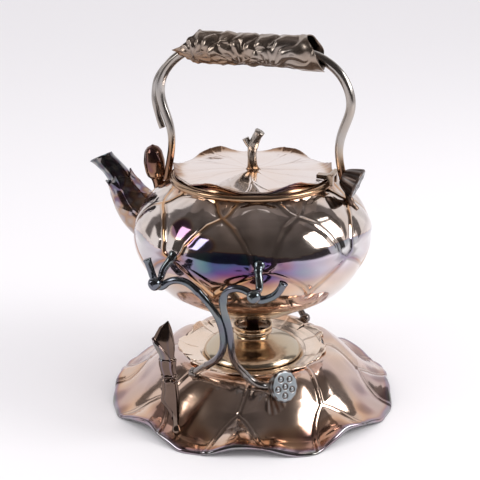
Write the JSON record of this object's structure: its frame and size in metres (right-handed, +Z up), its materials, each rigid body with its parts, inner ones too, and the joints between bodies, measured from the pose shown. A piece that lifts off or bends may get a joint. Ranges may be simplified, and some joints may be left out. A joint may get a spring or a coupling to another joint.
{
  "type": "spirit kettle on stand",
  "caption": "Lotus-leaf spirit kettle with hinged lid and fixed overhead handle, hung by four ball-ended journals in the crooks of a stemmed leaf stand over a spirit lamp.",
  "frame": {"origin": "centre of the whole object on the table plane, below the middle of its outer box", "axes": "+Z up; the spout points along -X and the lid hinge and heel pod are at +X; +Y runs across, away from the front face with the furled leaf"},
  "size_m": [0.2619, 0.2396, 0.2998],
  "materials": {
    "kettle_plate": "silver plate toned lilac, blue and gold-brown",
    "lid_plate": "bright silver plate, faintly pink",
    "spout_plate": "silver plate toned teal, violet and orange",
    "twig_plate": "warm pewter-toned silver plate",
    "pod_plate": "dark silver plate",
    "hinge_plate": "silver plate",
    "stem_plate": "steel-blue toned silver plate",
    "base_plate": "silver plate toned copper, pink and blue at the rim",
    "lamp_plate": "cream-gold gilt plate",
    "gilt": "polished gilding",
    "wick_tube_brass": "dull brass, heat darkened",
    "wick_cotton": "woven cotton"
  },
  "bodies": {
    "stand": {"foot_stem_front": "stem_plate", "foot_stem_rear": "stem_plate", "furled_leaf": "base_plate", "lamp_dish": "lamp_plate", "pod_stem_front": "stem_plate", "pod_stem_rear": "stem_plate", "stand_base": "base_plate", "stand_pod_front": "pod_plate", "stand_pod_front_seeds": "pod_plate", "stand_pod_rear": "pod_plate", "stand_pod_rear_seeds": "pod_plate"},
    "kettle": {"body_hinge_lugs": "hinge_plate", "bud": "pod_plate", "grip_leaf": "twig_plate", "handle_rod": "twig_plate", "handle_twig": "twig_plate", "heel_pod": "pod_plate", "heel_pod_seeds": "pod_plate", "hinge_pin": "hinge_plate", "journal_heel_front": "stem_plate", "journal_heel_rear": "stem_plate", "journal_spout_front": "stem_plate", "journal_spout_rear": "stem_plate", "kettle_body": "kettle_plate", "mouth_rim": "gilt", "spout": "spout_plate", "spout_leaf_collar": "spout_plate"},
    "lid": {"lid_bezel": "gilt", "lid_hinge_strap": "hinge_plate", "lid_knob": "twig_plate", "lid_leaf": "lid_plate"},
    "lamp": {"lamp_reservoir": "lamp_plate"},
    "burner": {"burner_collar": "lamp_plate", "wick": "wick_cotton", "wick_tube": "wick_tube_brass"}
  },
  "joints": [
    {"name": "pour_tilt", "type": "hinge", "parent": "stand", "child": "kettle", "pos_m": [-0.02683, 0, 0.1303], "axis": [0, -1, 0], "range_deg": [0, 40]},
    {"name": "lid_hinge", "type": "hinge", "parent": "kettle", "child": "lid", "pos_m": [0.07607, 0, 0.1932], "axis": [0, 1, 0], "range_deg": [0, 35]},
    {"name": "lamp_lift", "type": "slide", "parent": "stand", "child": "lamp", "axis": [0, 0, 1], "range_m": [0, 0.005]},
    {"name": "burner_lift", "type": "slide", "parent": "lamp", "child": "burner", "axis": [0, 0, 1], "range_m": [0, 0.005]}
  ]
}
